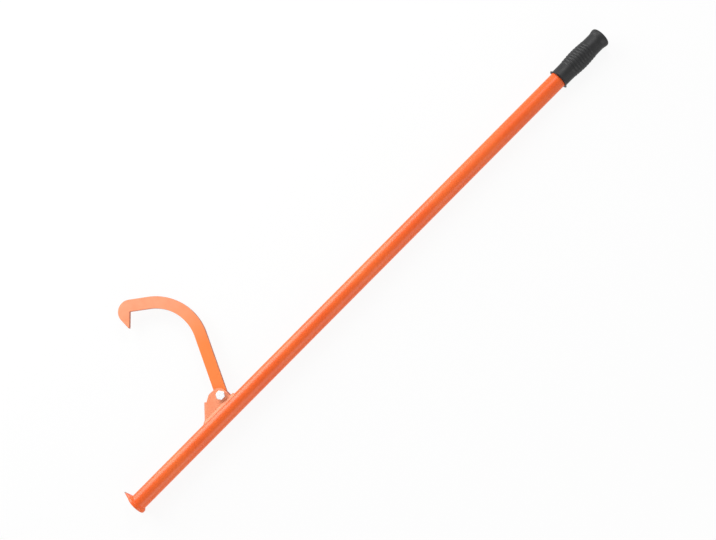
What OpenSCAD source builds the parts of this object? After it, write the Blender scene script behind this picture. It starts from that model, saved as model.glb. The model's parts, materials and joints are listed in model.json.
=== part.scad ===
// Log lifter with a swinging hook, a toothed toe plate and a rubber grip.
// X runs up the handle from the toe face, Y points to the hook's side, Z is square to the hook.
// The origin is the middle of the toe plate's outer face.

/* [Handle tube] */
// Outside diameter of the handle tube
tube_od = 32; // [28:0.5:38]
// Wall thickness of the handle tube
tube_wall = 2; // [1.5:0.1:3]
// Length of the whole tool, from toe face to the end of the grip
tool_len = 1220; // [900:5:1600]

/* [Toe plate] */
// Thickness of the toe plate
toe_t = 5; // [4:0.5:8]
// Rim of the toe plate that stands out round the tube
toe_rim = 3.5; // [3.5:0.5:8]
// Reach of the tooth's tip past the rim
tooth_reach = 12.5; // [9:0.5:18]
// Width of the tooth where it leaves the rim
tooth_root_w = 24; // [16:0.5:28]
// Width of the tooth at its tip
tooth_tip_w = 2.4; // [1:0.1:5]
// Thickness that is left at the ground tip
tooth_tip_t = 1.6; // [1:0.1:3]

/* [Pivot] */
// Distance from the toe face to the pivot
pivot_x = 255; // [200:1:330]
// Gap between the hook's round heel and the tube
heel_gap = 2.5; // [1:0.5:6]
// Diameter of the pivot bolt
bolt_d = 10; // [8:0.5:11]
// Radial play of the hook's eye on the bolt
pivot_play = 0.08; // [0.03:0.01:0.1]
// Play between the hook and each ear
side_play = 0.5; // [0.3:0.1:1]

/* [Bracket] */
// Thickness of the plate that the bracket is bent from
ear_t = 4; // [3:0.5:6]
// Radius of the ear's rear lobe
lobe_r = 16; // [14.5:0.5:18]
// Distance from the pivot back to the lobe's centre
lobe_back = 4.5; // [2:0.5:6]
// Height of the lobe's centre above the pivot
lobe_rise = 1; // [0:0.5:3]
// Radius of the ear's front shoulder
shoulder_r = 9; // [7:0.5:10]
// Distance from the pivot back to the shoulder's centre
shoulder_back = 13.5; // [11:0.5:15]
// Height of the shoulder's centre above the pivot
shoulder_rise = 8.5; // [6:0.5:10]
// Distance from the pivot to the outer face of the stop web
web_back = 33.5; // [31:0.5:38]
// Angle between the stop web and the tube
web_angle = 48; // [43:1:52]
// Height of the web's upper edge above the tube
web_rise = 28; // [24:0.5:30]
// Inside radius of the two bends
bend_inner_r = 1.5; // [1:0.1:3]
// Distance from the pivot to the ears' rear foot
foot_fwd = 12; // [11:0.5:20]

/* [Hook] */
// Width of the hook's flat bar
hook_w = 23; // [20:0.5:26]
// Thickness of the hook's flat bar
hook_t = 8; // [6:0.5:12]
// Straight length of the shank, from the pivot to the bend
shank_len = 121.5; // [90:0.5:150]
// Radius of the bend at the middle of the bar
hook_bend_r = 97; // [60:1:130]
// Angle that the bend turns through
hook_turn = 76.5; // [60:0.1:95]
// Straight length of the arm, from the bend to the nose
arm_len = 38; // [15:1:60]
// Angle that the nose turns through to the back of the tooth
nose_turn = 127; // [110:0.1:135]
// Length of the tooth's back edge
hook_tooth_len = 22.5; // [16:0.5:32]
// Width that is left at the hook's point
hook_point_w = 1.6; // [1:0.1:3]
// Angle of the shank to the tube in the photographed position
hook_rest = 66.3; // [0:0.1:130]

/* [Fasteners] */
// Width across the flats of the bolt head and nut
hex_af = 16; // [15:0.5:19]
// Height of the bolt head
head_h = 6.4; // [5:0.1:8]
// Height of the lock nut's hexagon
nut_hex_h = 7; // [5:0.1:9]
// Height of the lock nut's round collar
nut_collar_h = 3; // [2.5:0.1:4]
// Outside diameter of the washer
washer_od = 20; // [19:0.5:24]
// Thickness of the washer
washer_t = 2; // [1:0.1:3]
// Length of bolt that stands past the nut
bolt_past = 1; // [0.5:0.1:3]

/* [Welds] */
// Radius of the bead round the toe end of the tube
toe_bead_r = 2.8; // [2:0.1:3]
// Radius of the beads along the bracket
bead_r = 4; // [2.5:0.1:4.2]
// Length of the side beads past the ears' rear feet
bead_lead = 9; // [2:0.5:12]

/* [Grip] */
// Length of the rubber grip
grip_len = 113; // [95:1:140]
// Rubber on the tube at the slim parts of the grip
grip_wall = 2; // [1.5:0.1:4]
// Thickness of the grip's closed end
grip_end_t = 5; // [3:0.5:10]
// Distance from the lip's face to the middle of the belly
belly_mid = 53; // [45:1:58]
// Extra radius at the middle of the belly
belly_rise = 1.8; // [0.5:0.1:4]
// Length of the belly
belly_len = 72; // [50:1:80]
// Height of the lip over the tube
lip_rise = 5; // [3.5:0.1:7]
// Thickness of the lip
lip_t = 2.4; // [1.5:0.1:5]
// Extra radius of the flare at the closed end
flare_rise = 1.7; // [0.5:0.1:3]
// Length over which the flare opens
flare_len = 11; // [8:0.5:16]
// Rounding of the closed end
end_round = 4.5; // [3:0.1:6]
// Number of ribs round the belly
rib_count = 9; // [5:1:11]
// Spacing of the ribs
rib_pitch = 6; // [4.5:0.1:6.2]
// Height of each rib
rib_h = 0.4; // [0.3:0.1:1]

/* [Hidden] */

$fn = 96;
paint = [0.93, 0.37, 0.13];
zinc = [0.86, 0.87, 0.88];
nylon = [0.93, 0.93, 0.90];
rubber = [0.10, 0.10, 0.11];

// Hair gap that lets a curved seat be put on
seat_gap = 0.05;
// Gap between bolt and nut, washer or ear
bolt_gap = 0.1;
// Overlap that keeps cuts clean
cut = 1;
// Share of its radius by which a bead's centre stands out of the corner that it fills
bead_out = 0.1;
// Radius of the bead across the web's foot, as a share of the beads along the sides
web_bead_share = 0.9;

tube_r = tube_od / 2;
seat_r = tube_r + seat_gap;
bolt_r = bolt_d / 2;
toe_r = tube_r + toe_rim;
tooth_y = toe_r + tooth_reach;
// Height at which the tooth's sides start, inside the rim
tooth_root_y = sqrt(toe_r * toe_r - tooth_root_w * tooth_root_w / 4) - cut;

pivot_y = tube_r + heel_gap + hook_w / 2;
ear_in = hook_t / 2 + side_play;
ear_out = ear_in + ear_t;
bend_outer_r = bend_inner_r + ear_t;
lobe_x = pivot_x - lobe_back;
lobe_y = pivot_y + lobe_rise;
shoulder_x = pivot_x - shoulder_back;
shoulder_y = pivot_y + shoulder_rise;

// The web's outer face crosses the height y at this x
function web_x(y) = pivot_x - web_back / sin(web_angle) + (y - pivot_y) / tan(web_angle);
web_top_y = tube_r + web_rise;
web_foot_x = web_x(tube_r);
foot_x = pivot_x + foot_fwd;

nut_h = nut_hex_h + nut_collar_h;
washer_z = -ear_out;
nut_z = washer_z - washer_t;
bolt_end_z = nut_z - nut_h - bolt_past;
bolt_chamfer = 1;
hex_r = hex_af / 2 / cos(30);
// Radius of the flat circle on top of a hexagon, inside its turned-off corners
hex_flat_r = 0.95 * hex_af / 2;

// The nut's collar is rolled in over the nylon ring
insert_wall = 1.3;
collar_wall = 1;
collar_lip = 0.5;
collar_edge = 0.7;
insert_floor = 0.4;
insert_r = bolt_r + insert_wall;
insert_t = nut_collar_h - collar_wall;
insert_z = nut_hex_h + insert_floor;
collar_r = insert_r + collar_wall;

grip_x = tool_len - grip_len;
neck_r = tube_r + grip_wall;
lip_r = tube_r + lip_rise;
flare_r = neck_r + flare_rise;
belly_x = grip_x + belly_mid;
rib_x0 = belly_x - rib_pitch * rib_count / 2;
rib_x1 = belly_x + rib_pitch * rib_count / 2;
flare_x = tool_len - end_round - cut;

// Points along an arc of radius r round c, from angle a0 to a1
function arc(c, r, a0, a1, step = 4) =
    let (n = max(2, ceil(abs(a1 - a0) / step)))
    [for (i = [0:n]) let (a = a0 + (a1 - a0) * i / n) c + r * [cos(a), sin(a)]];

// A round bar along X
module x_rod(r, len) {
    rotate([0, 90, 0]) cylinder(r = r, h = len);
}

// A half profile of [radius, x] points, turned round the X axis
module turned_x(points) {
    rotate([0, 90, 0]) rotate_extrude() polygon(points);
}

// What the tube and its seat take out of anything that sits on it
module tube_seat() {
    translate([-cut, 0, 0]) x_rod(seat_r, tool_len);
}

// A hexagon prism on its bearing face, its far corners turned off at 30 degrees
module hexagon(h) {
    drop = (hex_r - hex_flat_r) * tan(30);
    intersection() {
        cylinder(r = hex_r, h = h, $fn = 6);
        rotate_extrude() polygon([[0, 0], [hex_r + cut, 0], [hex_r + cut, h - drop - cut * tan(30)],
                                  [hex_flat_r, h], [0, h]]);
    }
}

module handle_tube() {
    color(paint) translate([toe_t, 0, 0]) difference() {
        x_rod(tube_r, tool_len - grip_end_t - toe_t);
        translate([-cut, 0, 0]) x_rod(tube_r - tube_wall, tool_len);
    }
}

module toe_plate() {
    color(paint) difference() {
        rotate([90, 0, 90]) linear_extrude(toe_t) {
            circle(r = toe_r);
            polygon([[0, -tooth_root_w / 2], [tooth_root_y, -tooth_root_w / 2],
                     [tooth_y, -tooth_tip_w / 2], [tooth_y, tooth_tip_w / 2],
                     [tooth_root_y, tooth_root_w / 2], [0, tooth_root_w / 2]]);
        }
        // The slope ground on the tooth's upper side, from the rim to the tip
        slope = (toe_t - tooth_tip_t) / tooth_reach;
        translate([0, 0, -tooth_root_w]) linear_extrude(2 * tooth_root_w)
            polygon([[toe_t, toe_r], [tooth_tip_t - slope * cut, tooth_y + cut],
                     [toe_t + cut, tooth_y + cut], [toe_t + cut, toe_r]]);
    }
}

module toe_weld() {
    off = bead_out * toe_bead_r;
    color(paint) difference() {
        turned_x([for (i = [0:23]) [tube_r + off + toe_bead_r * cos(15 * i),
                                    toe_t + off + toe_bead_r * sin(15 * i)]]);
        tube_seat();
        translate([-tool_len, 0, 0]) x_rod(2 * toe_r, tool_len + toe_t);
    }
}

// The side view of an ear, with the web's line along its front
module ear_outline() {
    lobe = [lobe_x, lobe_y];
    shoulder = [shoulder_x, shoulder_y];
    // The corner where the ear goes on alone, one bend's width behind the end of the web
    step = [web_x(web_top_y), web_top_y] + bend_outer_r * [sin(web_angle), -cos(web_angle)];
    // Direction square to the line that touches lobe and shoulder on top
    tie = atan2(shoulder_y - lobe_y, shoulder_x - lobe_x);
    top = tie - acos((lobe_r - shoulder_r) / norm(shoulder - lobe));
    // Direction square to the line from the step that touches the shoulder
    to_step = (atan2(step[1] - shoulder_y, step[0] - shoulder_x) + 360) % 360;
    front = to_step - acos(shoulder_r / norm(step - shoulder));
    // Direction square to the line from the rear foot that touches the lobe
    foot = [foot_x, tube_r];
    rear = atan2(tube_r - lobe_y, foot_x - lobe_x) + acos(lobe_r / norm(foot - lobe));
    polygon(concat([[web_x(0), 0], [web_x(web_top_y), web_top_y], step],
                   arc(shoulder, shoulder_r, front, top),
                   arc(lobe, lobe_r, top, rear),
                   [foot, [foot_x, 0]]));
}

// A channel with rounded bends: web across s = 0, flanges towards +s, standing along Z
module channel(len, depth) {
    bend_z = ear_out - bend_outer_r;
    outer = concat([[depth, -ear_out]], arc([bend_outer_r, -bend_z], bend_outer_r, 270, 180),
                   arc([bend_outer_r, bend_z], bend_outer_r, 180, 90), [[depth, ear_out]]);
    inner = concat([[depth, ear_in]], arc([bend_outer_r, bend_z], bend_inner_r, 90, 180),
                   arc([bend_outer_r, -bend_z], bend_inner_r, 180, 270), [[depth, -ear_in]]);
    linear_extrude(len) polygon(concat(outer, inner));
}

module pivot_bracket() {
    reach = 3 * web_back;
    color(paint) difference() {
        intersection() {
            translate([web_x(0), 0, 0])
                multmatrix([[sin(web_angle), 0, cos(web_angle), 0],
                            [-cos(web_angle), 0, sin(web_angle), 0],
                            [0, -1, 0, 0]])
                translate([0, 0, -reach]) channel(3 * reach, reach);
            translate([0, 0, -2 * ear_out]) linear_extrude(4 * ear_out) ear_outline();
        }
        tube_seat();
        translate([pivot_x, pivot_y, -2 * ear_out]) cylinder(r = bolt_r + bolt_gap, h = 4 * ear_out);
    }
}

// A bar along X with round ends, from x0 to x1
module round_ended(r, x0, x1) {
    turned_x(concat([[0, x0 - r]], [for (a = [75:-15:0]) [r * cos(a), x0 - r * sin(a)]],
                    [for (a = [0:15:75]) [r * cos(a), x1 + r * sin(a)]], [[0, x1 + r]]));
}

// Beads up both sides of the bracket, across the foot of the web and round the ears' rear ends
module bracket_weld() {
    off = bead_out * bead_r;
    bead_y = sqrt(tube_r * tube_r - ear_out * ear_out) + off;
    bead_z = ear_out + off;
    front_x = web_foot_x - off;
    half = atan2(bead_z, bead_y);
    color(paint) difference() {
        union() {
            for (s = [-1, 1])
                translate([0, bead_y, s * bead_z]) round_ended(bead_r, front_x, foot_x + bead_lead - bead_r);
            translate([front_x, 0, 0]) rotate([0, 90, 0]) rotate([0, 0, 90 - half])
                rotate_extrude(angle = 2 * half)
                translate([norm([bead_y, bead_z]), 0]) circle(r = web_bead_share * bead_r);
        }
        tube_seat();
        // The bracket's own space, with the gap that the hook swings in
        translate([0, 0, -ear_out]) linear_extrude(2 * ear_out) ear_outline();
    }
}

// The hook's outline with its pivot at the origin and its shank along +X
module hook_outline() {
    half = hook_w / 2;
    bend = [shank_len, hook_bend_r];
    bend_end = hook_turn - 90;
    along = [cos(hook_turn), sin(hook_turn)];
    across = [-sin(hook_turn), cos(hook_turn)];
    // The inner corner, round which the nose turns
    corner = bend + hook_bend_r * -across + arm_len * along + half * across;
    nose_end = bend_end + nose_turn;
    tooth = [-sin(nose_end), cos(nose_end)];
    back = corner + hook_w * [cos(nose_end), sin(nose_end)];
    point = back + hook_tooth_len * tooth;
    polygon(concat(arc([0, 0], half, 270, 90),
                   arc(bend, hook_bend_r - half, -90, bend_end),
                   [corner, point - hook_point_w * [cos(nose_end), sin(nose_end)], point],
                   arc(corner, hook_w, nose_end, bend_end),
                   arc(bend, hook_bend_r + half, bend_end, -90)));
}

module hook() {
    color(paint) translate([pivot_x, pivot_y, -hook_t / 2]) rotate(hook_rest) difference() {
        linear_extrude(hook_t) hook_outline();
        translate([0, 0, -cut]) cylinder(r = bolt_r + pivot_play, h = hook_t + 2 * cut);
    }
}

module pivot_bolt() {
    color(zinc) translate([pivot_x, pivot_y, 0]) {
        translate([0, 0, ear_out]) hexagon(head_h);
        translate([0, 0, bolt_end_z]) {
            cylinder(r1 = bolt_r - bolt_chamfer, r2 = bolt_r, h = bolt_chamfer);
            translate([0, 0, bolt_chamfer]) cylinder(r = bolt_r, h = ear_out - bolt_end_z - bolt_chamfer);
        }
    }
}

module nut_washer() {
    color(zinc) translate([pivot_x, pivot_y, nut_z]) difference() {
        cylinder(d = washer_od, h = washer_t);
        translate([0, 0, -cut]) cylinder(r = bolt_r + bolt_gap, h = washer_t + 2 * cut);
    }
}

// The nut stands on its bearing face here and is turned over onto the washer
module lock_nut() {
    color(zinc) translate([pivot_x, pivot_y, nut_z]) mirror([0, 0, 1]) difference() {
        union() {
            hexagon(nut_hex_h);
            cylinder(r = collar_r, h = nut_h - collar_edge);
            translate([0, 0, nut_h - collar_edge])
                cylinder(r1 = collar_r, r2 = collar_r - collar_edge, h = collar_edge);
        }
        translate([0, 0, -cut]) cylinder(r = bolt_r + bolt_gap, h = nut_hex_h + 2 * cut);
        translate([0, 0, insert_z]) cylinder(r = insert_r, h = insert_t);
        translate([0, 0, insert_z]) cylinder(r = insert_r - collar_lip, h = nut_h);
    }
}

module nut_insert() {
    color(nylon) translate([pivot_x, pivot_y, nut_z]) mirror([0, 0, 1]) translate([0, 0, insert_z])
        difference() {
            cylinder(r = insert_r - seat_gap, h = insert_t);
            translate([0, 0, -cut]) cylinder(r = bolt_r + seat_gap, h = insert_t + 2 * cut);
        }
}

// A smooth hump: 1 at t = 0, 0 beyond -1 and 1
function hump(t) = abs(t) < 1 ? (1 + cos(180 * t)) / 2 : 0;
// A smooth rise from 0 at t = 0 to 1 at t = 1
function rise(t) = t <= 0 ? 0 : t >= 1 ? 1 : (1 - cos(180 * t)) / 2;
// Extra radius of the belly and the flare on the slim part of the grip
function grip_base_r(x) = neck_r + belly_rise * hump((x - belly_x) / (belly_len / 2))
                        + flare_rise * rise((x - flare_x + flare_len) / flare_len);

// One rib's section in six steps of its pitch: a flat valley, a slope and a round crest
rib_section = [0, 0, 0.6, 1, 1, 0.6];

module grip() {
    lip_round = lip_t / 3;
    lip = [[seat_r, grip_x], [lip_r - lip_round, grip_x], [lip_r, grip_x + lip_round],
           [lip_r, grip_x + lip_t - lip_round], [lip_r - lip_round, grip_x + lip_t]];
    lower = [for (i = [0:5]) let (x = grip_x + lip_t + (rib_x0 - grip_x - lip_t) * i / 6) [grip_base_r(x), x]];
    ribs = [for (k = [0:rib_count - 1], i = [0:5]) let (x = rib_x0 + rib_pitch * (k + i / 6))
            [grip_base_r(x) + rib_h * rib_section[i], x]];
    upper = [for (i = [0:12]) let (x = rib_x1 + (flare_x - rib_x1) * i / 12) [grip_base_r(x), x]];
    end = [for (i = [0:6]) [flare_r - end_round * (1 - cos(15 * i)), tool_len - end_round * (1 - sin(15 * i))]];
    hollow = [[0, tool_len], [0, tool_len - grip_end_t], [seat_r, tool_len - grip_end_t]];
    color(rubber) turned_x(concat(lip, lower, ribs, upper, end, hollow));
}

handle_tube();
toe_plate();
toe_weld();
pivot_bracket();
bracket_weld();
hook();
pivot_bolt();
nut_washer();
lock_nut();
nut_insert();
grip();
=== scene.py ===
"""Dresses the log lifter: painted steel handle, toe plate, bracket and hook, zinc bolt and rubber grip.

Everything is in metres in the part's own frame. X runs up the handle from the toe face, Y points to the
hook's side, and Z runs along the pivot bolt to its head.
"""
import json
import logging
import math
from collections.abc import Callable, Iterable, Sequence
from dataclasses import dataclass, field
from enum import Enum

import bmesh
import bpy
from mathutils import Matrix, Vector


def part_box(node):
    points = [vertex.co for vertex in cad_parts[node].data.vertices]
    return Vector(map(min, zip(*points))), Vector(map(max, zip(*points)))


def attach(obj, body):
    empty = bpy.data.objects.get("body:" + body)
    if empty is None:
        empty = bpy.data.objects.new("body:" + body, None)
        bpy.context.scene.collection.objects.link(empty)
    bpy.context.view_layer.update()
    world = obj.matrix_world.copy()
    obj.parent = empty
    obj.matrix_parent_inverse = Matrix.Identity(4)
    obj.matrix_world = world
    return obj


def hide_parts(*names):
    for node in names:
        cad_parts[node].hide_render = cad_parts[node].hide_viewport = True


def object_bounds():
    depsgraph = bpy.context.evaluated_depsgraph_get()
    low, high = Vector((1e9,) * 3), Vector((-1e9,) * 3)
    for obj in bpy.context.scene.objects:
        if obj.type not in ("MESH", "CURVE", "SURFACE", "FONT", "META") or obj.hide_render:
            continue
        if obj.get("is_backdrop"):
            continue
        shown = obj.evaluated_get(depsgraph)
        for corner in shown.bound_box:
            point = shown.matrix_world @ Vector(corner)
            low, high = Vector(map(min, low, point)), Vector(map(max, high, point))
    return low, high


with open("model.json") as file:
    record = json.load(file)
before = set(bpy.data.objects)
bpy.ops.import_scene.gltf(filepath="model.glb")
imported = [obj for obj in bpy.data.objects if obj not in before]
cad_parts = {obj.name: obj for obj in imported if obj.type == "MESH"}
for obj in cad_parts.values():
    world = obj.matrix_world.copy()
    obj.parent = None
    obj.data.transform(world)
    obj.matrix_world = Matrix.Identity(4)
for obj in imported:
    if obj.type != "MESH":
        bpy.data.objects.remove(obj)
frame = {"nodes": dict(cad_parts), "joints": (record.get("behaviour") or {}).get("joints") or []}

MM = 0.001
MERGE_GAP = 1e-6
# The widest bend that still counts as flat, in a copied solid and in a plate that is just cut
SOLID_FLAT = math.radians(0.5)
PLATE_FLAT = math.radians(1.0)
FACES_UP = 0.9
RINGS_PER_RIPPLE = 6
NOISE_ROUGHNESS = 0.55
WHITE = (1.0, 1.0, 1.0, 1.0)
ALONG_HANDLE = Vector((1.0, 0.0, 0.0))
ALONG_BOLT = Vector((0.0, 0.0, 1.0))
TO_HOOK = Vector((0.0, 1.0, 0.0))

Colour = tuple[float, float, float]
Point = tuple[float, float, float]
Profile = Sequence[tuple[float, float]]

log = logging.getLogger("log_lifter")


class Body(Enum):
    """The two bodies that move against each other."""

    HANDLE = "handle"
    HOOK = "hook"


class Finish(Enum):
    """The tool's finishes, each with the record's slot that it belongs to."""

    # The first word tells apart finishes that share a slot, which would be one member without it
    TUBE_PAINT = ("tube", "orange_paint")
    TOE_PAINT = ("toe", "orange_paint")
    BRACKET_PAINT = ("bracket", "orange_paint")
    HOOK_PAINT = ("hook", "orange_paint")
    ZINC = ("fasteners", "bright_zinc")
    NYLON = ("insert", "white_nylon")
    RUBBER = ("grip", "black_rubber")

    @property
    def slot(self) -> str:
        """The record's slot."""
        return self.value[1]


class Value:
    """A number, vector or colour in a material, whose operators add Math nodes."""

    def __init__(self, shader: "Shader", socket: bpy.types.NodeSocket) -> None:
        """Wraps the output socket of a node in that shader."""
        self.shader = shader
        self.socket = socket

    def _math(self, operation: str, first: "Value | float", second: "Value | float") -> "Value":
        """Adds one Math node."""
        return self.shader.value("ShaderNodeMath", {"operation": operation}, {0: first, 1: second})

    def __add__(self, other: "Value | float") -> "Value":
        """self + other."""
        return self._math("ADD", self, other)

    def __radd__(self, other: float) -> "Value":
        """other + self."""
        return self._math("ADD", other, self)

    def __mul__(self, other: "Value | float") -> "Value":
        """self * other."""
        return self._math("MULTIPLY", self, other)

    def __rmul__(self, other: float) -> "Value":
        """other * self."""
        return self._math("MULTIPLY", other, self)


class Shader:
    """The node tree of a material or of the world, in the making."""

    def __init__(self, owner: bpy.types.Material | bpy.types.World) -> None:
        """Starts an empty node tree.

        Args:
            owner: What the tree belongs to.
        """
        owner.use_nodes = True
        self.owner = owner
        self.tree = owner.node_tree
        self.tree.nodes.clear()

    def node(self, kind: str, settings: dict | None = None, inputs: dict | None = None) -> bpy.types.Node:
        """Adds a node.

        Args:
            kind: The node's type.
            settings: Its properties, set first.
            inputs: Values or links of its sockets, by name or number.

        Returns:
            The node.
        """
        node = self.tree.nodes.new(kind)
        for name, setting in (settings or {}).items():
            setattr(node, name, setting)
        for key, content in (inputs or {}).items():
            socket = self._socket(node.inputs, key)
            if isinstance(content, Value):
                self.tree.links.new(content.socket, socket)
            else:
                socket.default_value = content
        return node

    def value(self, kind: str, settings: dict | None = None, inputs: dict | None = None,
              output: str | int = 0) -> Value:
        """Adds a node as node() does, and returns the output of that name or number."""
        node = self.node(kind, settings, inputs)
        return Value(self, self._socket(node.outputs, output))

    def place(self) -> Value:
        """Object coordinates, which are the part's own frame in metres."""
        return self.value("ShaderNodeTexCoord", output="Object")

    def facing(self) -> Value:
        """The direction that the surface faces, in the part's own frame."""
        return self.value("ShaderNodeTexCoord", output="Normal")

    def distance_from(self, point: Point) -> Value:
        """Distance from a point of the part's frame, in metres."""
        return self.value("ShaderNodeVectorMath", {"operation": "DISTANCE"},
                          {0: self.place(), 1: point}, "Value")

    def noise(self, size: float, detail: float = 2.0, stretch: Point = (1.0, 1.0, 1.0)) -> Value:
        """Adds a noise pattern.

        Args:
            size: Size of its patches, in metres.
            detail: Number of finer layers.
            stretch: Factor on its grain along X, Y and Z.

        Returns:
            The noise, about 0.5 in the middle.
        """
        grain = self.value("ShaderNodeMapping", {}, {"Vector": self.place(), "Scale": stretch})
        inputs = {"Vector": grain, "Scale": 1.0 / size, "Detail": detail, "Roughness": NOISE_ROUGHNESS}
        return self.value("ShaderNodeTexNoise", {}, inputs, "Fac")

    def blend(self, mask: Value, low: Colour | Value, high: Colour | Value) -> Value:
        """Mixes two colours.

        Args:
            mask: A number from 0 to 1.
            low: The colour where the mask is 0.
            high: The colour where the mask is 1.

        Returns:
            The mixed colour.
        """
        ends = {"A": low, "B": high}
        colours = {name: end if isinstance(end, Value) else (*end, 1.0) for name, end in ends.items()}
        return self.value("ShaderNodeMix", {"data_type": "RGBA"}, {"Factor": mask, **colours}, "Result")

    def steep(self, value: Value, start: float, end: float) -> Value:
        """0 where the value is below start and 1 above end."""
        return self.value("ShaderNodeMapRange", {"clamp": True},
                          {"Value": value, "From Min": start, "From Max": end})

    def bump(self, height: Value, depth: float) -> Value:
        """A normal that stands a height of 0 to 1 out by that depth, in metres."""
        return self.value("ShaderNodeBump", {}, {"Height": height, "Distance": depth, "Strength": 1.0})

    def finish(self, inputs: dict) -> bpy.types.Material:
        """Ends the tree in a Principled BSDF.

        Args:
            inputs: Values or links of its sockets, by name.

        Returns:
            The material.
        """
        surface = self.value("ShaderNodeBsdfPrincipled", {}, inputs, "BSDF")
        self.node("ShaderNodeOutputMaterial", {}, {"Surface": surface})
        return self.owner

    @staticmethod
    def _socket(sockets: bpy.types.bpy_prop_collection, key: str | int) -> bpy.types.NodeSocket:
        """Finds a socket.

        Args:
            sockets: A node's inputs or outputs.
            key: The socket's number, or the name of one that is in use.

        Returns:
            The socket.
        """
        if isinstance(key, int):
            return sockets[key]
        return next(socket for socket in sockets if socket.name == key and not socket.is_unavailable)


@dataclass(frozen=True)
class PowderCoat:
    """Orange powder coat on steel, with a faint orange peel and a slow drift in its tone."""

    name: str = "tube_powder_coat"
    tone: Colour = (0.86, 0.105, 0.008)
    thin_tone: Colour = (0.89, 0.142, 0.017)
    drift_size: float = 70 * MM
    cloud_size: float = 9 * MM
    peel_size: float = 2.4 * MM
    peel_depth: float = 0.010 * MM
    peel_share: float = 0.9
    grit_size: float = 0.6 * MM
    grit_share: float = 0.1
    drift_share: float = 0.6
    cloud_share: float = 0.4
    thin_from: float = 0.35
    thin_to: float = 0.70
    gloss_roughness: float = 0.29
    dull_roughness: float = 0.39
    specular: float = 0.44
    ior: float = 1.5

    def build(self) -> bpy.types.Material:
        """Makes the material.

        Returns:
            The material.
        """
        shader = Shader(bpy.data.materials.new(self.name))
        cloud = shader.noise(self.cloud_size, detail=3.0)
        peel = shader.noise(self.peel_size, detail=2.0)
        grit = shader.noise(self.grit_size, detail=1.0)
        return shader.finish({
            "Base Color": self.colour(shader, cloud),
            "Roughness": self.gloss_roughness + (self.dull_roughness - self.gloss_roughness) * cloud,
            "Normal": shader.bump(peel * self.peel_share + grit * self.grit_share, self.peel_depth),
            "IOR": self.ior,
            "Specular IOR Level": self.specular,
        })

    def colour(self, shader: Shader, cloud: Value) -> Value:
        """Makes the coat's colour, which drifts between its two tones.

        Args:
            shader: The material in the making.
            cloud: The coat's fine clouds.

        Returns:
            The colour.
        """
        drift = shader.noise(self.drift_size, detail=1.0)
        uneven = drift * self.drift_share + cloud * self.cloud_share
        thin = shader.steep(uneven, self.thin_from, self.thin_to)
        return shader.blend(thin, self.tone, self.thin_tone)


@dataclass(frozen=True)
class PlateCoat(PowderCoat):
    """The same coat on flat steel, duller, with painted sheen that makes its faces paler and painted shade
    that darkens its sides and edges.
    """

    name: str = "plate_powder_coat"
    # The paler tones are painted sheen: the tube's orange with a white reflection painted in.
    tone: Colour = (0.92, 0.29, 0.140)
    thin_tone: Colour = (0.94, 0.34, 0.180)
    # Painted shade for the sides and rounded edges, blended in by how far they turn from the bolt's
    # direction.
    painted_side_shade_tone: Colour = (0.50, 0.13, 0.050)
    side_shade_level: float = 0.35
    face_level: float = 0.99
    drift_size: float = 30 * MM
    gloss_roughness: float = 0.38
    dull_roughness: float = 0.50
    specular: float = 0.45

    def colour(self, shader: Shader, cloud: Value) -> Value:
        """Paints shade on the sides and edges, darkening the faces' colour where the steel turns away from
        the bolt's direction.

        Args:
            shader: The material in the making.
            cloud: The coat's fine clouds.

        Returns:
            The colour.
        """
        upright = shader.value("ShaderNodeSeparateXYZ", {}, {"Vector": shader.facing()}, "Z")
        level = shader.value("ShaderNodeMath", {"operation": "ABSOLUTE"}, {0: upright})
        face = shader.steep(level, self.side_shade_level, self.face_level)
        return shader.blend(face, self.painted_side_shade_tone, self.face_colour(shader, cloud))

    def face_colour(self, shader: Shader, cloud: Value) -> Value:
        """The colour of the flat faces, without the painted shade."""
        return super().colour(shader, cloud)


@dataclass(frozen=True)
class HookCoat(PlateCoat):
    """The flat pieces' coat on the hook, whose painted sheen fades out round the middle of its shank,
    leaving it deeper in tone there.
    """

    name: str = "hook_powder_coat"
    # Painted sheen on the flat pieces fades out round the shank's middle, leaving this deeper tone there.
    sheenless_shank_tone: Colour = (0.93, 0.225, 0.045)
    sheen_gap_middle: Point = (0.275, 0.080, 0.0)
    sheen_gap_reach: float = 50 * MM
    sheen_return_reach: float = 150 * MM

    def face_colour(self, shader: Shader, cloud: Value) -> Value:
        """Takes the painted sheen out of the flat pieces' colour round the middle of the hook's shank,
        which deepens it there.

        Args:
            shader: The material in the making.
            cloud: The coat's fine clouds.

        Returns:
            The colour.
        """
        pale = shader.steep(shader.distance_from(self.sheen_gap_middle), self.sheen_gap_reach, self.sheen_return_reach)
        return shader.blend(pale, self.sheenless_shank_tone, super().face_colour(shader, cloud))


@dataclass(frozen=True)
class ToeCoat(PowderCoat):
    """The tube's coat on the toe plate, darker and greyer round the tooth's tip."""

    name: str = "toe_powder_coat"
    tip_tone: Colour = (0.22, 0.115, 0.075)
    tip: Point = (0.001, 0.032, 0.0)
    tip_tone_reach: float = 1.5 * MM
    tip_fade_reach: float = 8 * MM

    def colour(self, shader: Shader, cloud: Value) -> Value:
        """Makes the coat's colour, darker and greyer round the tooth's tip.

        Args:
            shader: The material in the making.
            cloud: The coat's fine clouds.

        Returns:
            The colour.
        """
        away_from_tip = shader.steep(shader.distance_from(self.tip), self.tip_tone_reach, self.tip_fade_reach)
        return shader.blend(away_from_tip, self.tip_tone, super().colour(shader, cloud))


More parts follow.
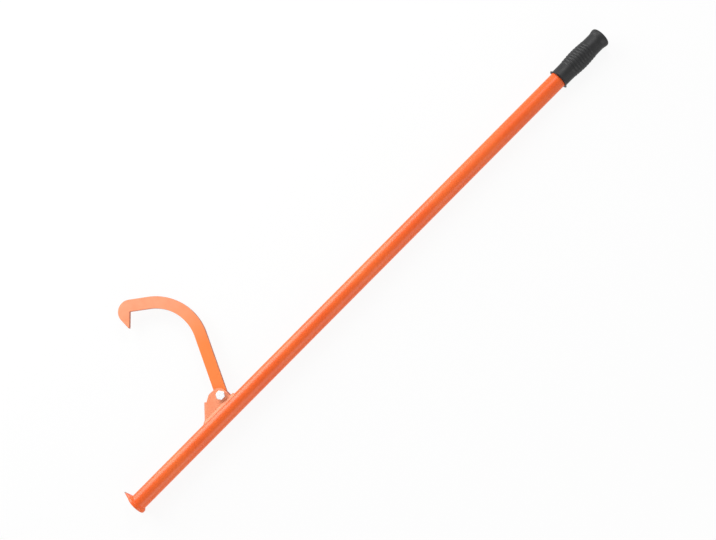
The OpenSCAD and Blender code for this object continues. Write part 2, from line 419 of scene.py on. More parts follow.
@dataclass(frozen=True)
class ZincPlate:
    """Bright zinc on a turned and pressed fastener, clouded by its clear passivation."""

    tone: Colour = (0.77, 0.79, 0.81)
    cloud_tone: Colour = (0.66, 0.68, 0.67)
    cloud_size: float = 3 * MM
    cloud_from: float = 0.35
    cloud_to: float = 0.65
    scratch_size: float = 0.5 * MM
    scratch_depth: float = 0.01 * MM
    scratch_stretch: Point = (1.0, 1.0, 6.0)
    roughness: float = 0.36
    cloud_roughness: float = 0.16

    def build(self) -> bpy.types.Material:
        """Makes the material.

        Returns:
            The material.
        """
        shader = Shader(bpy.data.materials.new("bright_zinc_plate"))
        cloud = shader.noise(self.cloud_size, detail=3.0)
        clouded = shader.steep(cloud, self.cloud_from, self.cloud_to)
        scratch = shader.noise(self.scratch_size, detail=2.0, stretch=self.scratch_stretch)
        return shader.finish({
            "Base Color": shader.blend(clouded, self.tone, self.cloud_tone),
            "Metallic": 1.0,
            "Roughness": self.roughness + self.cloud_roughness * cloud,
            "Normal": shader.bump(scratch, self.scratch_depth),
        })


@dataclass(frozen=True)
class Rubber:
    """Moulded black rubber, with a fine grain and a dusty bloom."""

    tone: Colour = (0.006, 0.0062, 0.0066)
    bloom_tone: Colour = (0.013, 0.0133, 0.014)
    bloom_size: float = 14 * MM
    bloom_from: float = 0.40
    bloom_to: float = 0.70
    grain_size: float = 0.45 * MM
    grain_depth: float = 0.015 * MM
    roughness: float = 0.41
    bloom_roughness: float = 0.10
    grain_roughness: float = 0.06
    specular: float = 0.34

    def build(self) -> bpy.types.Material:
        """Makes the material.

        Returns:
            The material.
        """
        shader = Shader(bpy.data.materials.new("black_rubber"))
        bloom = shader.steep(shader.noise(self.bloom_size, detail=4.0), self.bloom_from, self.bloom_to)
        grain = shader.noise(self.grain_size, detail=2.0)
        return shader.finish({
            "Base Color": shader.blend(bloom, self.tone, self.bloom_tone),
            "Roughness": self.roughness + self.bloom_roughness * bloom + self.grain_roughness * grain,
            "Normal": shader.bump(grain, self.grain_depth),
            "Specular IOR Level": self.specular,
        })


@dataclass(frozen=True)
class Nylon:
    """The lock nut's white nylon ring."""

    tone: Colour = (0.80, 0.80, 0.76)
    shade: Colour = (0.70, 0.70, 0.65)
    cloud_size: float = 2 * MM
    roughness: float = 0.40
    cloud_roughness: float = 0.15

    def build(self) -> bpy.types.Material:
        """Makes the material.

        Returns:
            The material.
        """
        shader = Shader(bpy.data.materials.new("white_nylon"))
        cloud = shader.noise(self.cloud_size, detail=2.0)
        return shader.finish({
            "Base Color": shader.blend(cloud, self.tone, self.shade),
            "Roughness": self.roughness + self.cloud_roughness * cloud,
        })


@dataclass
class Finishes:
    """The materials of the tool, one for each finish."""

    materials: dict[Finish, bpy.types.Material] = field(default_factory=dict)

    def mix(self) -> None:
        """Makes every material."""
        recipes = {
            Finish.TUBE_PAINT: PowderCoat(),
            Finish.TOE_PAINT: ToeCoat(),
            Finish.BRACKET_PAINT: PlateCoat(),
            Finish.HOOK_PAINT: HookCoat(),
            Finish.ZINC: ZincPlate(),
            Finish.NYLON: Nylon(),
            Finish.RUBBER: Rubber(),
        }
        self.materials = {finish: recipe.build() for finish, recipe in recipes.items()}


def arc(centre: tuple[float, float], radius: float, start: float, end: float,
        step: float = 4.0) -> list[tuple[float, float]]:
    """Points along an arc.

    Args:
        centre: The arc's centre.
        radius: Its radius.
        start: The angle it starts at, in degrees.
        end: The angle it ends at, in degrees.
        step: The widest angle between points, in degrees.

    Returns:
        The points, both ends included.
    """
    count = max(2, math.ceil(abs(end - start) / step))
    angles = [math.radians(start + (end - start) * i / count) for i in range(count + 1)]
    return [(centre[0] + radius * math.cos(a), centre[1] + radius * math.sin(a)) for a in angles]


def smooth_rise(share: float) -> float:
    """A smooth step from 0 at 0 to 1 at 1."""
    share = min(1.0, max(0.0, share))
    return (1.0 - math.cos(math.pi * share)) / 2.0


def hump(share: float) -> float:
    """A smooth hump: 1 at 0, and 0 beyond -1 and 1."""
    return 1.0 - smooth_rise(abs(share))


def outline_loop(bm: bmesh.types.BMesh, points: Iterable[Sequence[float]]) -> list[bmesh.types.BMEdge]:
    """Adds a closed loop of edges through points in the XY plane, and returns its edges."""
    verts = [bm.verts.new((x, y, 0.0)) for x, y in points]
    return [bm.edges.new(pair) for pair in zip(verts, verts[1:] + verts[:1])]


def plate_from_loops(loops: Sequence[Sequence[Sequence[float]]], thickness: float) -> bmesh.types.BMesh:
    """Cuts a plate along an outline and holes.

    Args:
        loops: The outline, then each hole, as points in the XY plane.
        thickness: The plate's thickness, upwards from the plane.

    Returns:
        The plate.
    """
    bm = bmesh.new()
    edges = [edge for loop in loops for edge in outline_loop(bm, loop)]
    bmesh.ops.triangle_fill(bm, use_beauty=True, use_dissolve=False, edges=edges)
    bmesh.ops.dissolve_limit(bm, angle_limit=PLATE_FLAT, verts=bm.verts, edges=bm.edges)
    top = bmesh.ops.extrude_face_region(bm, geom=bm.faces[:])["geom"]
    moved = [item for item in top if isinstance(item, bmesh.types.BMVert)]
    bmesh.ops.translate(bm, vec=(0.0, 0.0, thickness), verts=moved)
    bmesh.ops.recalc_face_normals(bm, faces=bm.faces)
    return bm


def turned(profile: Profile, axis: Vector, steps: int, closed: bool = False) -> bmesh.types.BMesh:
    """Turns a half profile round an axis through the origin.

    Args:
        profile: Points as (distance along the axis, radius).
        axis: The axis, along X or Z.
        steps: Number of steps in the full turn.
        closed: Whether the profile's last point joins its first.

    Returns:
        The turned shape.
    """
    bm = bmesh.new()
    verts = [bm.verts.new(axis * along + TO_HOOK * radius) for along, radius in profile]
    pairs = list(zip(verts, verts[1:])) + ([(verts[-1], verts[0])] if closed else [])
    edges = [bm.edges.new(pair) for pair in pairs]
    bmesh.ops.spin(bm, geom=verts + edges, cent=(0.0, 0.0, 0.0), axis=axis, dvec=(0.0, 0.0, 0.0),
                   angle=math.tau, steps=steps, use_merge=True, use_normal_flip=False, use_duplicate=False)
    bmesh.ops.remove_doubles(bm, verts=bm.verts, dist=MERGE_GAP)
    bmesh.ops.recalc_face_normals(bm, faces=bm.faces)
    return bm


def solid_copy(node: str) -> bmesh.types.BMesh:
    """Copies a CAD node's solid, merged and with its flat faces whole.

    Args:
        node: The node's name.

    Returns:
        The copy.
    """
    bm = bmesh.new()
    bm.from_mesh(frame["nodes"][node].data)
    bmesh.ops.remove_doubles(bm, verts=bm.verts, dist=MERGE_GAP)
    bmesh.ops.dissolve_limit(bm, angle_limit=SOLID_FLAT, verts=bm.verts, edges=bm.edges)
    return bm


def cut_off(bm: bmesh.types.BMesh, point: Sequence[float], outwards: Sequence[float]) -> None:
    """Cuts a solid off along a plane, and closes it there.

    Args:
        bm: The solid.
        point: A point on the plane.
        outwards: The direction square to the plane, towards what goes.
    """
    cut = bmesh.ops.bisect_plane(bm, geom=bm.verts[:] + bm.edges[:] + bm.faces[:], dist=MERGE_GAP,
                                 plane_co=point, plane_no=outwards, clear_outer=True)
    rim = [item for item in cut["geom_cut"] if isinstance(item, bmesh.types.BMEdge)]
    bmesh.ops.holes_fill(bm, edges=rim, sides=0)
    bmesh.ops.recalc_face_normals(bm, faces=bm.faces)


def break_edges(bm: bmesh.types.BMesh, width: float, sharper_than: float = 30.0, segments: int = 2) -> None:
    """Rounds the sharp edges of a solid.

    Args:
        bm: The solid.
        width: Width of the rounding.
        sharper_than: Least angle between the faces of an edge, in degrees.
        segments: Number of faces across the rounding.
    """
    sharp = [edge for edge in bm.edges
             if edge.is_manifold and edge.calc_face_angle(0.0) > math.radians(sharper_than)]
    bmesh.ops.bevel(bm, geom=sharp, offset=width, offset_type="OFFSET", segments=segments, profile=0.5,
                    affect="EDGES", clamp_overlap=True, material=-1)


def flattened(off: float, half: float, crown: float) -> float:
    """The reach of a weld's section, as a share of its leg on the metal.

    Args:
        off: Angle from the middle of the corner that the weld fills, in radians.
        half: Half of that corner.
        crown: How far the weld bulges from its flat face to a full round.

    Returns:
        The share: 1 at the metal and behind it, and less across the open corner.
    """
    off = abs(math.remainder(off, math.tau))
    if off > half:
        return 1.0
    flat = math.cos(half) / math.cos(off)
    return flat + (1.0 - flat) * crown


def pivot_point() -> Vector:
    """The point on the pivot bolt's axis that the hook's joint turns about."""
    return Vector(frame["joints"][0]["pos_m"])


def lay_bead(path: Callable[[float], Vector], length: float, radius: float, ripple: float, pitch: float,
             section: Callable[[float, float], float], sides: int = 36,
             lean: float = 0.22) -> bmesh.types.BMesh:
    """Lays a weld bead with round ends and a ripple along a path.

    Args:
        path: Point of the bead's middle at a distance along it.
        length: Length of the path.
        radius: Radius of the bead.
        ripple: Height of the ripple as a share of the radius.
        pitch: Distance between ripples.
        section: Share of the radius at a distance along the path and an angle round it, 0 being away from
            the tube.
        sides: Number of faces round the bead.
        lean: How far a ripple runs ahead in the bead's middle, as a share of the pitch.

    Returns:
        The bead, as a closed shape.
    """
    bm = bmesh.new()
    rings = round(length / pitch * RINGS_PER_RIPPLE)
    near = pitch / 4
    bmesh.ops.create_uvsphere(bm, u_segments=sides, v_segments=rings, radius=1.0)
    for vert in bm.verts:
        share = math.asin(max(-1.0, min(1.0, vert.co.z))) / math.pi + 0.5
        around = math.atan2(vert.co.y, vert.co.x)
        here = share * length
        middle = path(here)
        ahead = (path(here + near) - path(here - near)).normalized()
        off_axis = Vector((0.0, middle.y, middle.z))
        out = (off_axis - ahead * off_axis.dot(ahead)).normalized()
        aside = ahead.cross(out)
        to_end = min(here, length - here)
        width = math.sqrt(max(0.0, 1.0 - (1.0 - to_end / radius) ** 2)) if to_end < radius else 1.0
        wave = abs(math.sin(math.pi * (here / pitch + lean * math.cos(around) ** 2)))
        width *= (1.0 - ripple + ripple * wave) * section(here, around)
        vert.co = middle + radius * width * (math.cos(around) * out + math.sin(around) * aside)
    bmesh.ops.remove_doubles(bm, verts=bm.verts, dist=MERGE_GAP)
    bmesh.ops.recalc_face_normals(bm, faces=bm.faces)
    return bm


@dataclass
class Assembly:
    """What the tool's sub-assemblies share: their finishes, and how a piece is set down in the scene."""

    finishes: Finishes
    # The largest faces lead the shading, so that a flat face stays flat up to its rounded edge
    flat_faces_lead: int = 100

    def set_down(self, bm: bmesh.types.BMesh, name: str, node: str, body: Body, finish: Finish,
                 crease: float = 40.0) -> bpy.types.Object:
        """Makes an object of a finished mesh that stands for one CAD node.

        Args:
            bm: The mesh, which is used up.
            name: Name of the piece.
            node: The CAD node that it stands for.
            body: The body that it rides on.
            finish: Its finish.
            crease: Least angle of an edge that stays sharp, in degrees.

        Returns:
            The object.
        """
        mesh = bpy.data.meshes.new(name)
        bm.to_mesh(mesh)
        bm.free()
        mesh.shade_smooth()
        mesh.set_sharp_from_angle(angle=math.radians(crease))
        mesh.materials.append(self.finishes.materials[finish])
        piece = bpy.data.objects.new(name, mesh)
        bpy.context.scene.collection.objects.link(piece)
        flat_first = piece.modifiers.new("flat_faces_first", "WEIGHTED_NORMAL")
        flat_first.keep_sharp = True
        flat_first.weight = self.flat_faces_lead
        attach(piece, body.value)
        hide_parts(node)
        log.info("%s: %d faces, for %s on the %s", name, len(mesh.polygons), node, body.value)
        return piece


@dataclass
class Handle(Assembly):
    """The painted tube that runs from the toe plate into the grip."""

    radius: float = 16 * MM
    wall: float = 2 * MM
    edge: float = 0.3 * MM
    steps: int = 128

    def build(self) -> None:
        """Makes the tube with its open ends broken."""
        low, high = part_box("handle_tube")
        inner = self.radius - self.wall
        bm = turned([(low.x, inner), (low.x, self.radius), (high.x, self.radius), (high.x, inner)],
                    ALONG_HANDLE, self.steps, closed=True)
        break_edges(bm, self.edge, sharper_than=60.0)
        self.set_down(bm, "painted_tube", "handle_tube", Body.HANDLE, Finish.TUBE_PAINT)


@dataclass
class Toe(Assembly):
    """The toothed plate on the handle's lower end, and the bead that holds it."""

    tube_r: float = 16 * MM
    plate_t: float = 5 * MM
    rim_r: float = 19.5 * MM
    rim_step: float = 3.0
    reach: float = 12.5 * MM
    root_w: float = 21.9 * MM
    tip_w: float = 2.4 * MM
    tip_t: float = 1.6 * MM
    edge: float = 0.5 * MM
    bead_r: float = 2.8 * MM
    bead_out: float = 0.28 * MM
    bead_crown: float = 0.25
    bead_step: float = 10.0
    ripple: float = 0.08
    ripple_pitch: float = 2.5 * MM
    ripple_lean: float = 0.7

    def build(self) -> None:
        """Makes the plate and its bead."""
        self.set_down(self.plate(), "toothed_toe_plate", "toe_plate", Body.HANDLE, Finish.TOE_PAINT)
        self.set_down(self.bead(), "toe_bead", "toe_weld", Body.HANDLE, Finish.TUBE_PAINT)

    def plate(self) -> bmesh.types.BMesh:
        """Cuts the disc with its tooth, ground to a slope on the inner side.

        Returns:
            The plate.
        """
        root = math.degrees(math.asin(self.root_w / 2 / self.rim_r))
        tip_y = self.rim_r + self.reach
        outline = arc((0.0, 0.0), self.rim_r, root, 360.0 - root, self.rim_step)
        outline += [(tip_y, -self.tip_w / 2), (tip_y, self.tip_w / 2)]
        bm = plate_from_loops([outline], self.plate_t)
        # The drawing plane's axes are Y and Z here, and the plate grows along X
        lay = Matrix(((0, 0, 1, 0), (1, 0, 0, 0), (0, 1, 0, 0), (0, 0, 0, 1)))
        bmesh.ops.transform(bm, matrix=lay, verts=bm.verts)
        cut_off(bm, (self.plate_t, self.rim_r, 0.0), (self.reach, self.plate_t - self.tip_t, 0.0))
        break_edges(bm, self.edge, sharper_than=25.0)
        return bm

    def bead(self) -> bmesh.types.BMesh:
        """Lays the rippled bead in the corner between plate and tube.

        Returns:
            The bead.
        """
        centre = (self.plate_t + self.bead_out, self.tube_r + self.bead_out)
        turns = round(math.tau * centre[1] / self.ripple_pitch)
        ring = arc(centre, self.bead_r, 0.0, 360.0 - self.bead_step, self.bead_step)
        bm = turned(ring, ALONG_HANDLE, RINGS_PER_RIPPLE * turns, closed=True)
        # Half of the square corner, which is also the direction of its middle
        corner = math.radians(45.0)
        for vert in bm.verts:
            about = math.atan2(vert.co.z, vert.co.y)
            core = Vector((centre[0], centre[1] * math.cos(about), centre[1] * math.sin(about)))
            out = vert.co - core
            rise = math.atan2(out.y * math.cos(about) + out.z * math.sin(about), out.x)
            wave = abs(math.sin(turns / 2 * about + self.ripple_lean * out.x / self.bead_r))
            share = flattened(rise - corner, corner, self.bead_crown)
            vert.co = core + out * share * (1.0 - self.ripple + self.ripple * wave)
        return bm


@dataclass
class Bracket(Assembly):
    """The folded bracket that carries the hook, and the beads that hold it to the handle."""

    tube_r: float = 16 * MM
    edge: float = 0.4 * MM
    side_z: float = 8.5 * MM
    bead_r: float = 4 * MM
    bead_out: float = 0.4 * MM
    # The open corner that the bead fills, as angles round the bead, 0 being away from the tube
    corner_middle: float = -31.0
    corner_half: float = 67.0
    bead_crown: float = 0.28
    web_share: float = 0.65
    turn_cut: float = 2.5 * MM
    ripple: float = 0.09
    ripple_pitch: float = 2.6 * MM

    def build(self) -> None:
        """Makes the bracket and its bead."""
        bracket = solid_copy("pivot_bracket")
        break_edges(bracket, self.edge)
        self.set_down(bracket, "folded_bracket", "pivot_bracket", Body.HANDLE, Finish.BRACKET_PAINT)
        # The bead takes the bracket's coat, with its painted sheen and painted shade.
        self.set_down(self.bead(), "bracket_bead", "bracket_weld", Body.HANDLE, Finish.BRACKET_PAINT)

    def bead(self) -> bmesh.types.BMesh:
        """Lays one bead from the rear of one ear, round the web's foot, to the rear of the other ear.

        Returns:
            The bead.
        """
        low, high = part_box("bracket_weld")
        across = self.side_z + self.bead_out
        up = math.sqrt(self.tube_r ** 2 - self.side_z ** 2) + self.bead_out
        ring_r = math.hypot(across, up)
        half = math.atan2(across, up)
        front, rear = low.x + self.bead_r, high.x - self.bead_r
        straight = rear - front
        turn = 2.0 * half * ring_r
        length = 2.0 * (straight + self.bead_r) + turn

        def seam(here: float) -> Vector:
            """Follows the corner between bracket and tube.

            Args:
                here: Distance from the bead's start.

            Returns:
                The point there.
            """
            along = min(max(here - self.bead_r, -self.bead_r), length)
            if along < straight:
                x, about = rear - along, half
            elif along < straight + turn:
                x, about = front, half - (along - straight) / ring_r
            else:
                x, about = front + (along - straight - turn), -half
            return Vector((x, ring_r * math.cos(about), ring_r * math.sin(about)))

        def path(here: float) -> Vector:
            """The bead's middle there, which cuts the seam's two sharp turns."""
            back, ahead = seam(here - self.turn_cut), seam(here + self.turn_cut)
            return (back + 2.0 * seam(here) + ahead) / 4.0

        def section(here: float, around: float) -> float:
            """Shapes the bead, which is smaller where it crosses the web's foot.

            Args:
                here: Distance from the bead's start.
                around: Angle round the bead, in radians.

            Returns:
                The share of its radius there.
            """
            crossing = hump((here - length / 2) / (turn / 2 + self.bead_r))
            flat = flattened(around - math.radians(self.corner_middle), math.radians(self.corner_half),
                             self.bead_crown)
            return flat * (1.0 - (1.0 - self.web_share) * crossing)

        return lay_bead(path, length, self.bead_r, self.ripple, self.ripple_pitch, section)


@dataclass
class Hook(Assembly):
    """The flat bar hook, bent round the log and cut to a tooth."""

    bar_w: float = 23 * MM
    shank: float = 121.5 * MM
    bend_r: float = 97 * MM
    turn: float = 76.5
    arm: float = 38 * MM
    nose_turn: float = 127.0
    tooth: float = 22.5 * MM
    point_w: float = 1.6 * MM
    rest_angle: float = 66.3
    eye_r: float = 5.08 * MM
    eye_step: float = 7.5
    bend_step: float = 2.0
    edge: float = 0.7 * MM

    def outline(self) -> list[tuple[float, float]]:
        """Draws the hook's edge, with its pivot at the origin and its shank along X.

        Returns:
            The edge's points.
        """
        half = self.bar_w / 2
        bend = Vector((self.shank, self.bend_r))
        bend_end = self.turn - 90.0
        turned_by = math.radians(self.turn)
        along = Vector((math.cos(turned_by), math.sin(turned_by)))
        across = Vector((-along.y, along.x))
        corner = bend + (half - self.bend_r) * across + self.arm * along
        nose_end = bend_end + self.nose_turn
        back_to_face = Vector((math.cos(math.radians(nose_end)), math.sin(math.radians(nose_end))))
        point = corner + self.bar_w * back_to_face + self.tooth * Vector((-back_to_face.y, back_to_face.x))
        return [
            *arc((0.0, 0.0), half, 270.0, 90.0),
            *arc(bend, self.bend_r - half, -90.0, bend_end, self.bend_step),
            tuple(corner), tuple(point - self.point_w * back_to_face), tuple(point),
            *arc(corner, self.bar_w, nose_end, bend_end),
            *arc(bend, self.bend_r + half, bend_end, -90.0, self.bend_step),
        ]

    def build(self) -> None:
        """Makes the hook."""
        low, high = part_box("hook")
        pivot = pivot_point()
        eye = arc((0.0, 0.0), self.eye_r, 360.0, 0.0, self.eye_step)[:-1]
        bm = plate_from_loops([self.outline(), eye], high.z - low.z)
        break_edges(bm, self.edge, segments=3)
        stand = Matrix.Translation((pivot.x, pivot.y, low.z)) @ Matrix.Rotation(
            math.radians(self.rest_angle), 4, "Z")
        bmesh.ops.transform(bm, matrix=stand, verts=bm.verts)
        self.set_down(bm, "flat_bar_hook", "hook", Body.HOOK, Finish.HOOK_PAINT)


@dataclass
class PivotFastener(Assembly):
    """The bolt through the bracket and hook, with its washer and lock nut."""

    shank_r: float = 5 * MM
    root_r: float = 4.3 * MM
    thread_pitch: float = 1.5 * MM
    thread_len: float = 14 * MM
    end_chamfer: float = 1 * MM
    core_steps: int = 48
    # Half widths of the thread's ridge at its foot and crest, as shares of the pitch
    foot_share: float = 0.44
    crest_share: float = 0.07
    ridge_sunk: float = 0.1 * MM
    ridge_steps: int = 36
    flats: float = 16 * MM
    crown_share: float = 0.94
    crown_slope: float = 30.0
    crown_cuts: int = 9
    crown_inset: float = 0.5 * MM
    edge: float = 0.25 * MM

    def build(self) -> None:
        """Makes the four pieces."""
        self.set_down(self.bolt(), "hex_bolt", "pivot_bolt", Body.HANDLE, Finish.ZINC)
        for node, name, finish in (("nut_washer", "plain_washer", Finish.ZINC),
                                   ("lock_nut", "lock_nut_body", Finish.ZINC),
                                   ("nut_insert", "nylon_ring", Finish.NYLON)):
            bm = solid_copy(node)
            break_edges(bm, self.edge)
            self.set_down(bm, name, node, Body.HANDLE, finish)

    @staticmethod
    def top_face(bm: bmesh.types.BMesh) -> bmesh.types.BMFace:
        """The highest face of those that look up."""
        return max((face for face in bm.faces if face.normal.z > FACES_UP),
                   key=lambda face: face.calc_center_median().z)

    def crown(self, bm: bmesh.types.BMesh, pivot: Vector, top: float) -> None:
        """Turns down the corners of a hexagon head.

        Args:
            bm: The bolt.
            pivot: A point on its axis.
            top: Height of the head's top face.
        """
        edges = self.top_face(bm).edges[:]
        bmesh.ops.subdivide_edges(bm, edges=edges, cuts=self.crown_cuts, use_grid_fill=False)
        face = self.top_face(bm)
        rim = face.verts[:]
        bmesh.ops.inset_region(bm, faces=[face], thickness=self.crown_inset, use_even_offset=True)
        ring_r = self.flats / 2 * self.crown_share
        for vert in face.verts:
            out = Vector((vert.co.x - pivot.x, vert.co.y - pivot.y, 0.0)).normalized()
            vert.co = Vector((pivot.x, pivot.y, top)) + ring_r * out
        for vert in rim:
            reach = math.hypot(vert.co.x - pivot.x, vert.co.y - pivot.y)
            vert.co.z = top - (reach - ring_r) * math.tan(math.radians(self.crown_slope))

    def bolt(self) -> bmesh.types.BMesh:
        """Joins the bolt's head and shank, cut off where the thread starts, and the threaded end.

        Returns:
            The bolt.
        """
        low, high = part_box("pivot_bolt")
        pivot = pivot_point()
        start = low.z + self.thread_len
        bm = solid_copy("pivot_bolt")
        cut_off(bm, (0.0, 0.0, start), (0.0, 0.0, -1.0))
        self.crown(bm, pivot, high.z)
        core = turned([(low.z, 0.0), (low.z, self.root_r - self.end_chamfer / 2),
                       (low.z + self.end_chamfer / 2, self.root_r), (start, self.root_r), (start, 0.0)],
                      ALONG_BOLT, self.core_steps)
        ridge = self.ridge(low.z + self.end_chamfer / 2, start)
        for extra in (core, ridge):
            bmesh.ops.translate(extra, vec=(pivot.x, pivot.y, 0.0), verts=extra.verts)
            mesh = bpy.data.meshes.new("thread_blank")
            extra.to_mesh(mesh)
            extra.free()
            bm.from_mesh(mesh)
            bpy.data.meshes.remove(mesh)
        return bm

    def ridge(self, low: float, high: float) -> bmesh.types.BMesh:
        """Winds the thread's ridge, which runs out to nothing at both ends.

        Args:
            low: Where it starts along the bolt.
            high: Where it ends.

        Returns:
            The ridge.
        """
        bm = bmesh.new()
        foot, crest = self.thread_pitch * self.foot_share, self.thread_pitch * self.crest_share
        sunk = self.root_r - self.ridge_sunk
        profile = [(-foot, sunk), (-crest, self.shank_r), (crest, self.shank_r), (foot, sunk)]
        first = low + self.thread_pitch / 2
        verts = [bm.verts.new((0.0, radius, first + along)) for along, radius in profile]
        bm.faces.new(verts)
        turns = math.floor((high - low) / self.thread_pitch) - 1
        bmesh.ops.spin(bm, geom=bm.verts[:] + bm.edges[:] + bm.faces[:], cent=(0.0, 0.0, 0.0),
                       axis=ALONG_BOLT, dvec=(0.0, 0.0, self.thread_pitch / self.ridge_steps),
                       angle=math.tau * turns, steps=self.ridge_steps * turns, use_merge=False,
                       use_normal_flip=False, use_duplicate=False)
        top = first + self.thread_pitch * turns
        for vert in bm.verts:
            to_end = min(vert.co.z - first + foot, top + foot - vert.co.z)
            radius = math.hypot(vert.co.x, vert.co.y)
            share = min(1.0, max(0.0, to_end / self.thread_pitch))
            wanted = sunk + (radius - sunk) * share
            vert.co.x *= wanted / radius
            vert.co.y *= wanted / radius
        bmesh.ops.recalc_face_normals(bm, faces=bm.faces)
        return bm


@dataclass
class Grip(Assembly):
    """The ribbed rubber sleeve with its flared lip and closed end."""

    seat_r: float = 16.05 * MM
    neck_r: float = 18 * MM
    lip_r: float = 21 * MM
    lip_len: float = 4 * MM
    # How far the lip's edge stays below lip_r, and its bevel across and along
    lip_drop: float = 0.25 * MM
    lip_across: float = 0.35 * MM
    lip_along: float = 0.15 * MM
    belly_mid: float = 53 * MM
    belly_rise: float = 1.8 * MM
    belly_len: float = 72 * MM
    rib_count: int = 9
    rib_pitch: float = 6 * MM
    rib_share: float = 0.36
    rib_h: float = 0.5 * MM
    groove: float = 0.4 * MM
    flare_rise: float = 1.7 * MM
    flare_len: float = 11 * MM
    end_round: float = 4.5 * MM
    end_t: float = 5 * MM
    end_step: float = 10.0
    sample: float = 0.5 * MM
    steps: int = 144

    def body_r(self, along: float, length: float) -> float:
        """Works out the outer radius without its ribs.

        Args:
            along: Distance from the lip's face.
            length: Length of the grip.

        Returns:
            The radius.
        """
        flare = (along - (length - self.end_round - self.flare_len)) / self.flare_len
        lip = (1.0 - min(1.0, along / self.lip_len)) ** 2
        return (self.neck_r + self.belly_rise * hump((along - self.belly_mid) / (self.belly_len / 2))
                + self.flare_rise * smooth_rise(flare) + (self.lip_r - self.neck_r) * lip)

    def rib(self, along: float) -> float:
        """Works out the ribs and grooves.

        Args:
            along: Distance from the lip's face.

        Returns:
            The height of a rib there, or minus the depth of a groove.
        """
        place = (along - self.belly_mid) / self.rib_pitch + self.rib_count / 2
        if not 0.0 < place < self.rib_count:
            return 0.0
        crest = abs(place % 1.0 - 0.5) / self.rib_share
        if crest < 1.0:
            return self.rib_h * math.sqrt(1.0 - crest * crest)
        between = (crest - 1.0) / (0.5 / self.rib_share - 1.0)
        to_end = min(place, self.rib_count - place) > 0.5
        return -self.groove * smooth_rise(between) if to_end else 0.0

    def build(self) -> None:
        """Makes the grip."""
        low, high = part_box("grip")
        length = high.x - low.x
        shoulder = length - self.end_round
        count = math.floor((shoulder - self.sample) / self.sample)
        places = [self.sample * i for i in range(1, count + 1)]
        outside = [(low.x + along, self.body_r(along, length) + self.rib(along)) for along in places]
        end_r = self.neck_r + self.flare_rise
        rounding = arc((low.x + shoulder, end_r - self.end_round), self.end_round, 90.0, 0.0, self.end_step)
        lip_top = self.lip_r - self.lip_drop
        profile = [(high.x - self.end_t, 0.0), (high.x - self.end_t, self.seat_r), (low.x, self.seat_r),
                   (low.x, lip_top - self.lip_across), (low.x + self.lip_along, lip_top),
                   *outside, *rounding, (high.x, 0.0)]
        bm = turned(profile, ALONG_HANDLE, self.steps)
        self.set_down(bm, "ribbed_grip", "grip", Body.HANDLE, Finish.RUBBER, crease=50.0)


@dataclass(frozen=True)
class SoftBox:
    """A plain rectangular lamp that faces the tool."""

    name: str
    place: Vector
    aim: Vector
    width: float
    height: float
    power: float

    def hang(self) -> None:
        """Adds the lamp."""
        lamp = bpy.data.lights.new(self.name, "AREA")
        lamp.shape = "RECTANGLE"
        lamp.size = self.width
        lamp.size_y = self.height
        lamp.energy = self.power
        stand = bpy.data.objects.new(self.name, lamp)
        stand.location = self.place
        back = (self.place - self.aim).normalized()
        long_side = (ALONG_HANDLE - back * ALONG_HANDLE.dot(back)).normalized()
        turn = Matrix((long_side, back.cross(long_side), back)).transposed()
        stand.rotation_euler = turn.to_euler()
        bpy.context.scene.collection.objects.link(stand)


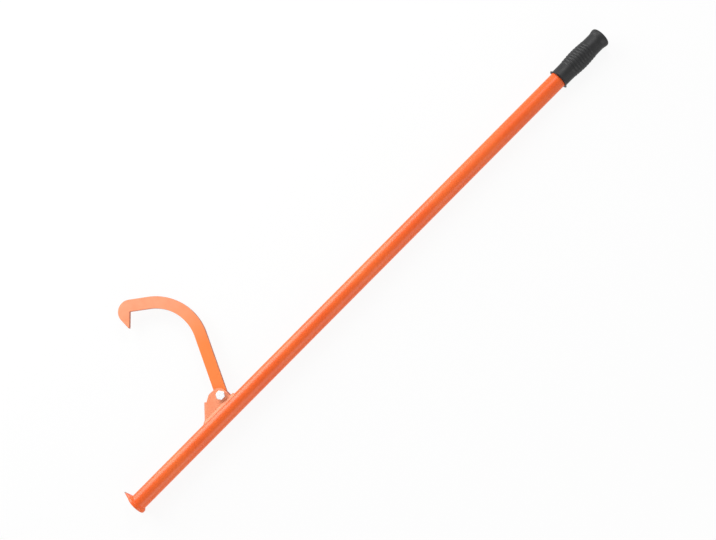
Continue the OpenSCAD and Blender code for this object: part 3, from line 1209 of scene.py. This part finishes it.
@dataclass
class Studio:
    """The pale floor, the white surroundings, the lamps and the camera."""

    middle: Vector = field(default_factory=lambda: Vector((0.597, 0.0150, 0.0)))
    distance: float = 2.0685
    lens: float = 56.26
    sensor: float = 36.0
    slant: float = 45.21
    tilt: float = 12.0
    floor_size: float = 40.0
    floor_tone: float = 0.86
    floor_white: float = 0.92
    surround: float = 0.30

    def build(self) -> None:
        """Sets everything up round the tool."""
        self.lay_floor()
        self.paint_surroundings()
        for lamp in self.lamps():
            lamp.hang()
        self.place_camera()
        bpy.context.scene.view_settings.view_transform = "Standard"

    def lamps(self) -> list[SoftBox]:
        """Places the key lamp, a weaker one across the handle, and a small one past the grip.

        Returns:
            The lamps.
        """
        to_toe = self.middle - 0.5 * ALONG_HANDLE
        to_grip = self.middle + 0.4 * ALONG_HANDLE
        return [
            SoftBox("key_lamp", place=self.middle + Vector((-0.40, 1.89, 0.91)), aim=self.middle,
                    width=1.8, height=1.8, power=59.0),
            SoftBox("fill_lamp", place=to_toe + Vector((0.0, -1.92, 0.70)), aim=to_toe,
                    width=2.6, height=1.5, power=22.0),
            SoftBox("end_lamp", place=self.middle + Vector((1.30, 0.90, 1.50)), aim=to_grip,
                    width=0.6, height=0.6, power=14.0),
        ]

    def lay_floor(self) -> None:
        """Lays the floor where the tool comes to rest on it."""
        low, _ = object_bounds()
        bm = bmesh.new()
        bmesh.ops.create_grid(bm, x_segments=1, y_segments=1, size=self.floor_size / 2)
        bmesh.ops.translate(bm, vec=(self.middle.x, 0.0, low.z), verts=bm.verts)
        mesh = bpy.data.meshes.new("studio_floor")
        bm.to_mesh(mesh)
        bm.free()
        mesh.materials.append(self.floor_material())
        floor = bpy.data.objects.new("studio_floor", mesh)
        bpy.context.scene.collection.objects.link(floor)
        floor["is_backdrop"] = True

    def floor_material(self) -> bpy.types.Material:
        """Makes a floor that looks white, and still takes light and a soft shadow.

        Returns:
            The material.
        """
        shader = Shader(bpy.data.materials.new("pale_floor"))
        pale = (self.floor_tone, self.floor_tone, self.floor_tone, 1.0)
        matte = shader.value("ShaderNodeBsdfDiffuse", {}, {"Color": pale}, "BSDF")
        white = shader.value("ShaderNodeEmission", {}, {"Color": WHITE, "Strength": 1.0}, "Emission")
        seen = self.seen_directly(shader) * self.floor_white
        surface = shader.value("ShaderNodeMixShader", {}, {0: seen, 1: matte, 2: white}, "Shader")
        shader.node("ShaderNodeOutputMaterial", {}, {"Surface": surface})
        return shader.owner

    @staticmethod
    def seen_directly(shader: Shader) -> Value:
        """Tells the rays that show a surface from those that light things.

        Args:
            shader: The material or world in the making.

        Returns:
            1 for rays from the camera, or by way of a mirror or glass, and 0 for the others.
        """
        kind = "ShaderNodeLightPath"
        camera = shader.value(kind, output="Is Camera Ray")
        glossy = shader.value(kind, output="Is Glossy Ray")
        through = shader.value(kind, output="Is Transmission Ray")
        rays = shader.value("ShaderNodeMath", {"operation": "MAXIMUM"}, {0: camera, 1: glossy})
        return shader.value("ShaderNodeMath", {"operation": "MAXIMUM"}, {0: rays, 1: through})

    def paint_surroundings(self) -> None:
        """A world that is white to the eye and lights the tool evenly."""
        world = bpy.data.worlds.new("white_room")
        bpy.context.scene.world = world
        shader = Shader(world)
        seen = self.seen_directly(shader)
        strength = self.surround + seen * (1.0 - self.surround)
        sky = shader.value("ShaderNodeBackground", {}, {"Color": WHITE, "Strength": strength})
        shader.node("ShaderNodeOutputWorld", {}, {"Surface": sky})

    def place_camera(self) -> None:
        """Looks down on the tool as the photograph does."""
        tilt, slant = math.radians(self.tilt), math.radians(self.slant)
        back = Vector((0.0, -math.sin(tilt), math.cos(tilt)))
        upright = Vector((0.0, math.cos(tilt), math.sin(tilt)))
        right = ALONG_HANDLE * math.cos(slant) - upright * math.sin(slant)
        up = ALONG_HANDLE * math.sin(slant) + upright * math.cos(slant)
        data = bpy.data.cameras.new("photo_camera")
        data.sensor_fit = "HORIZONTAL"
        data.sensor_width = self.sensor
        data.lens = self.lens
        camera = bpy.data.objects.new("photo_camera", data)
        turn = Matrix((right, up, back)).transposed().to_4x4()
        camera.matrix_world = Matrix.Translation(self.middle + back * self.distance) @ turn
        bpy.context.scene.collection.objects.link(camera)
        bpy.context.scene.camera = camera


def main() -> None:
    """Builds the tool and the studio round it."""
    logging.basicConfig(level=logging.INFO, format="%(name)s: %(message)s")
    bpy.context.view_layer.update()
    finishes = Finishes()
    finishes.mix()
    studio = Studio()
    studio.build()
    for assembly in (Handle, Toe, Bracket, Hook, PivotFastener, Grip):
        assembly(finishes).build()


if __name__ == "__main__":
    main()
